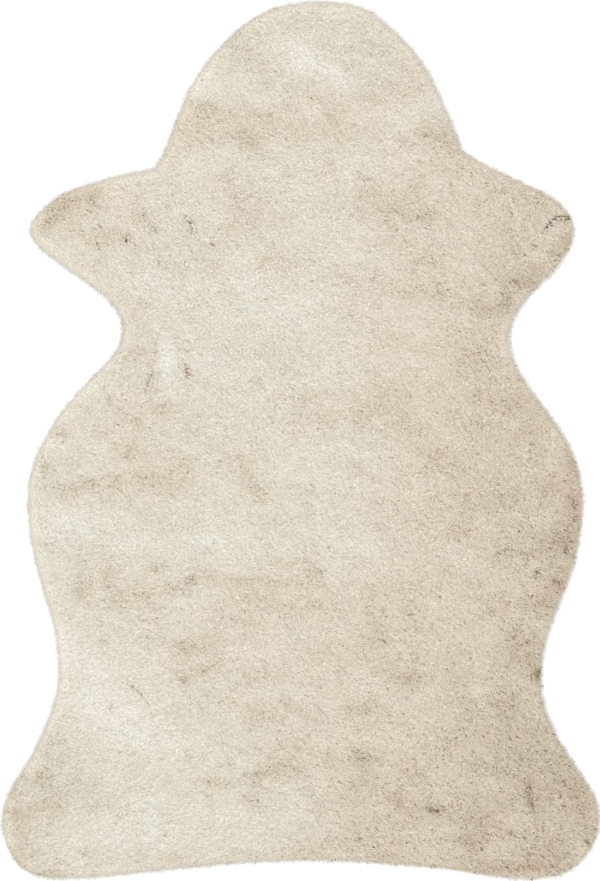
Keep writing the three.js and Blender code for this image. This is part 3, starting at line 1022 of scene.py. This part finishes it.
def grow_top(feet, depth, outwards):
    """The strands on the top of the cloth."""
    rng = np.random.default_rng(45)
    count = len(feet)
    heading, lean = lie_at(feet[:, 0], feet[:, 1])
    heading = heading + rng.normal(0, HEADING_SPREAD, count)
    lean = np.clip(lean + rng.normal(0, LEAN_SPREAD, count), *LEAN_LIMITS)
    length = STRAND_LENGTH * rng.uniform(*LENGTHS, count)
    groups = 1.0 + FLECK_GROUPS * soft_noise(feet[:, 0], feet[:, 1], 18 * MM, 49)
    fleck = rng.random(count) < FLECK_SHARE * groups
    length = np.where(fleck, FLECK_LENGTH * STRAND_LENGTH, length)
    lean = np.where(fleck, FLECK_LEAN, lean)
    way = np.stack(
        [np.sin(lean) * np.cos(heading), np.sin(lean) * np.sin(heading), np.cos(lean)], 1
    )
    edge = 1.0 - smooth_step(depth / EDGE_FALL)
    length *= 1.0 - EDGE_SHORTER * edge * rng.random(count)
    out3 = np.column_stack([outwards, np.zeros(count)])
    way = unit(way * (1 - 0.3 * edge)[:, None] + out3 * (EDGE_SPLAY * edge)[:, None])
    dark, off = partings_at(feet[:, :2])
    dark = np.minimum(dark, 1.0)
    way = unit(way + PARTING_SPLAY * np.column_stack([off, np.zeros(count)]))
    upright = unit(way + np.array([0, 0, 0.55]))
    middle = feet + upright * (length * 0.5)[:, None]
    tip = feet + upright * (length * 0.35)[:, None] + way * (length * 0.65)[:, None]
    gather_to, number = nearest_middle(feet[:, :2], TUFT_SPACING, 41)
    tufts = np.random.default_rng(44).uniform(-1, 1, 512 * 512)[number]
    pull = TUFT_GATHER * (1 - edge)
    tip[:, :2] += (gather_to + way[:, :2] * length[:, None] - tip[:, :2]) * pull[:, None]
    tip[:, 2] += tufts * TUFT_LIFT + FLECK_LIFT * fleck + PARTING_LIFT * dark
    tip[:, 2] = np.maximum(tip[:, 2], LOWEST_TIP)
    tone, rosy = colour(feet, tip, depth, 47)
    # the flecks are painted darker: painted shade
    fleck_shade = rng.uniform(*FLECK_SHADE, count) * fleck
    tone = tone - fleck_shade
    rosy = np.clip(rosy - ROSE_WITH_FLECK * fleck_shade, 0.03, 0.97)
    return {
        "foot": feet - np.array([0, 0, STRAND_SINK]), "middle": middle, "tip": tip,
        "girth": rng.uniform(*GIRTHS, count) * np.where(fleck, FLECK_GIRTH, 1.0) * (1.0 + dark),
        "tone": tone + TUFT_TONE * tufts, "rosy": rosy,
        "roll": rng.uniform(-STRAND_ROLL, STRAND_ROLL, count),
    }


def grow_side(feet, outwards):
    """The curls on the upright side of the cloth."""
    rng = np.random.default_rng(46)
    count = len(feet)
    heading, lean = lie_at(feet[:, 0], feet[:, 1])
    heading = heading + rng.normal(0, HEADING_SPREAD, count)
    sideways = 0.25 * np.sin(lean)[:, None] * np.stack(
        [np.cos(heading), np.sin(heading), np.zeros(count)], 1
    )
    droop = rng.uniform(*CURL_DROOP, count)
    out3 = np.column_stack([outwards, np.zeros(count)])
    way = unit(out3 + sideways + np.column_stack([np.zeros((count, 2)), droop]))
    stray = rng.random(count) ** CURL_STRAY
    length = CURL_REACH[0] + CURL_REACH[1] * stray
    locks = soft_noise(feet[:, 0], feet[:, 1], LOCK_SIZE, 50)
    length *= 1.0 + LOCK_LENGTH * locks
    middle = feet + unit(way + 0.3 * out3) * (length * 0.5)[:, None]
    tip = feet + way * length[:, None]
    tip[:, 2] = np.maximum(tip[:, 2], LOWEST_TIP)
    middle[:, 2] = np.maximum(middle[:, 2], 0.9 * MM)
    tone, rosy = colour(feet, tip, np.zeros(count), 48)
    # the curls are painted paler, painted light, and differ at random
    tone = tone + rng.normal(*CURL_LIGHT_AND_TONE, count) + LOCK_TONE * locks
    return {
        "foot": feet - out3 * STRAND_SINK, "middle": middle, "tip": tip,
        "girth": rng.uniform(*GIRTHS, count) * (1.0 - 0.5 * stray),
        "tone": tone, "rosy": rosy,
        "roll": rng.uniform(0, 2 * math.pi, count),
    }


def stamp(name, strands, points, faces, material, smooth):
    """Joins a copy of the strand for each row of strands into one piece."""
    count = len(strands["tone"])
    share = points[:, 2] / STRAND_LENGTH
    foot, middle, tip = strands["foot"], strands["middle"], strands["tip"]
    along = unit(tip - foot)
    side = unit(np.cross(along, np.array([0.0, 0.0, 1.0]) + 1e-6))
    other = np.cross(side, along)
    turn_c, turn_s = np.cos(strands["roll"])[:, None], np.sin(strands["roll"])[:, None]
    side, other = side * turn_c + other * turn_s, other * turn_c - side * turn_s
    s = share[None, :, None]
    bend = (
        (1 - s) ** 2 * foot[:, None]
        + 2 * s * (1 - s) * middle[:, None]
        + s ** 2 * tip[:, None]
    )
    girth = strands["girth"][:, None, None]
    at = (
        bend
        + girth * points[None, :, 0, None] * side[:, None]
        + girth * points[None, :, 1, None] * other[:, None]
    )
    corners = (faces[None] + (np.arange(count) * len(points))[:, None, None]).ravel()
    mesh = bpy.data.meshes.new(name)
    mesh.vertices.add(count * len(points))
    mesh.vertices.foreach_set("co", at.astype(np.float32).ravel())
    mesh.loops.add(len(corners))
    mesh.loops.foreach_set("vertex_index", corners.astype(np.int32))
    total = count * len(faces)
    mesh.polygons.add(total)
    mesh.polygons.foreach_set("loop_start", np.arange(0, total * 3, 3, dtype=np.int32))
    mesh.update(calc_edges=True)
    mesh.polygons.foreach_set("use_smooth", np.full(total, smooth))

    # painted shade, darker towards the foot of each strand
    tone = strands["tone"][:, None] + (share[None] - 0.7) * ROOT_SHADE
    spread = (np.arange(len(points)) / len(points) - 0.5) * 0.012
    rosy = strands["rosy"][:, None] + spread[None]
    uv = np.stack([np.clip(tone, 0.004, 0.996), np.clip(rosy, 0.004, 0.996)], 2).reshape(-1, 2)
    layer = mesh.uv_layers.new(name="OFBake")
    layer.uv.foreach_set("vector", uv[corners].astype(np.float32).ravel())
    mesh.materials.append(material)
    piece = bpy.data.objects.new(name, mesh)
    bpy.context.scene.collection.objects.link(piece)
    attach(piece, "root")
    return piece


def make_pile(cloth, outline):
    wool = wool_material("shag_wool", GREENER, ROSIER)
    # The edge's yarn is paler, painted light along the edge; the rim's strands pass from it into
    # the middle yarn further in, and the curls take it whole.
    edge_wool_painted_light = wool_material("edge_wool_painted_light", EDGE_YARN_PAINTED_LIGHT, MIDDLE)
    top_feet, depth, outwards = plant_top(cloth, outline)
    top = grow_top(top_feet, depth, outwards)
    side = grow_side(*plant_side(outline))
    rim = depth < RIM_WIDTH
    top["rosy"] = np.where(rim, smooth_step(depth / RIM_BLEND), top["rosy"])
    side["rosy"] = np.zeros(len(side["rosy"]))
    inner = {key: value[~rim] for key, value in top.items()}
    top_rim = {key: value[rim] for key, value in top.items()}
    points, faces = model_strand()
    pieces = [
        stamp("pile_edge", side, *model_curl(), edge_wool_painted_light, True),
        stamp("pile_rim", top_rim, points, faces, edge_wool_painted_light, False),
    ]
    order = np.argsort(-inner["foot"][:, 1], kind="stable")
    for name, rows in zip(PILE_BANDS, np.array_split(order, len(PILE_BANDS))):
        band = {key: value[rows] for key, value in inner.items()}
        pieces.append(stamp(f"pile_{name}", band, points, faces, wool, False))
    return pieces


# ---------------------------------------------------------------- camera, light and floor

def hang_camera():
    """Straight above the rug, with its length filling the view."""
    data = bpy.data.cameras.new("camera")
    camera = bpy.data.objects.new("camera", data)
    bpy.context.scene.collection.objects.link(camera)
    camera.location = (0, 0, CAMERA_HEIGHT)
    shown = RUG_HIGH.y - RUG_LOW.y
    middle_height = (RUG_LOW.z + RUG_HIGH.z) / 2
    data.lens = data.sensor_width * (CAMERA_HEIGHT - middle_height) / shown
    bpy.context.scene.camera = camera


def light_studio():
    world = bpy.data.worlds.new("studio")
    bpy.context.scene.world = world
    world.use_nodes = True
    world.node_tree.nodes["Background"].inputs["Color"].default_value = (1, 1, 1, 1)
    world.node_tree.nodes["Background"].inputs["Strength"].default_value = STUDIO_LIGHT
    sun = bpy.data.lights.new("key light", "SUN")
    sun.energy = KEY_LIGHT
    sun.angle = KEY_ANGLE
    key = bpy.data.objects.new("key light", sun)
    bpy.context.scene.collection.objects.link(key)
    key.rotation_euler = Vector(KEY_FROM).to_track_quat("Z", "Y").to_euler()
    bpy.context.scene.view_settings.view_transform = "Standard"


def lay_floor():
    bpy.ops.object.select_all(action="DESELECT")
    bpy.ops.mesh.primitive_plane_add(size=FLOOR_SIZE, location=(0, 0, RUG_LOW.z - FLOOR_GAP))
    floor = bpy.context.object
    floor.name = "floor"
    material, _, _, paint = start_material("floor")
    paint.inputs["Base Color"].default_value = (FLOOR_PAINT, FLOOR_PAINT, FLOOR_PAINT, 1)
    paint.inputs["Roughness"].default_value = 0.9
    floor.data.materials.append(material)
    return floor


hang_camera()
light_studio()
lay_floor()
cloth, outline = make_cloth()
pile = make_pile(cloth, outline)
